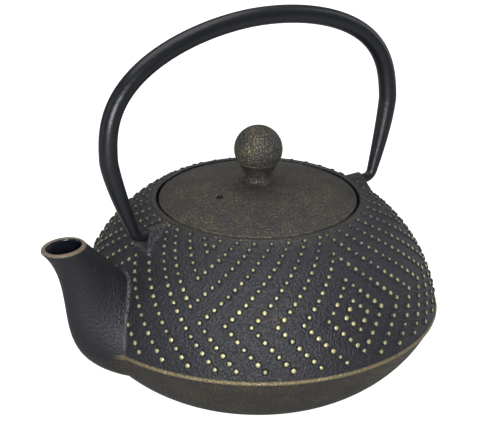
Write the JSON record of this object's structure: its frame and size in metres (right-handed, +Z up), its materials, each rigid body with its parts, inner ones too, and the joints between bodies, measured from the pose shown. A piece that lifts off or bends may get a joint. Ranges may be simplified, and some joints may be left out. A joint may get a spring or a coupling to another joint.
{
  "type": "cast iron teapot",
  "caption": "Cast iron teapot with a studded shoulder, short spout, swinging arched handle, knobbed lid and hanging infuser basket.",
  "frame": {"origin": "centre of the flat base, on the surface the pot stands on", "axes": "+Z up along the pot's axis; -X towards the spout; the handle's hinge axis lies along X"},
  "size_m": [0.1969, 0.169, 0.1719],
  "materials": {
    "dark_iron": "fine cast grain, dark blue-black, gold dust on the studs and edges, enamelled inside",
    "black_iron": "smooth satin black",
    "brown_iron": "fine cast grain, grey-brown with gold dust",
    "stainless": "brushed stainless",
    "steel_mesh": "fine perforated stainless"
  },
  "bodies": {
    "pot": {"pot_body": "dark_iron"},
    "handle": {"handle": "black_iron"},
    "infuser": {"infuser_rim": "stainless", "infuser_sleeve": "steel_mesh", "infuser_floor": "steel_mesh", "infuser_foot_ring": "stainless"},
    "lid": {"lid": "brown_iron", "lid_knob": "brown_iron", "knob_screw": "stainless", "knob_washer": "stainless"}
  },
  "joints": [
    {"name": "handle_hinge", "type": "hinge", "parent": "pot", "child": "handle", "pos_m": [0, 0, 0.0794], "axis": [1, 0, 0], "range_deg": [-101.8, 112.2]},
    {"name": "infuser_lift", "type": "slide", "parent": "pot", "child": "infuser", "axis": [0, 0, 1], "range_m": [0, 0.0155]},
    {"name": "lid_lift", "type": "slide", "parent": "infuser", "child": "lid", "axis": [0, 0, 1], "range_m": [0, 0.0235]}
  ]
}
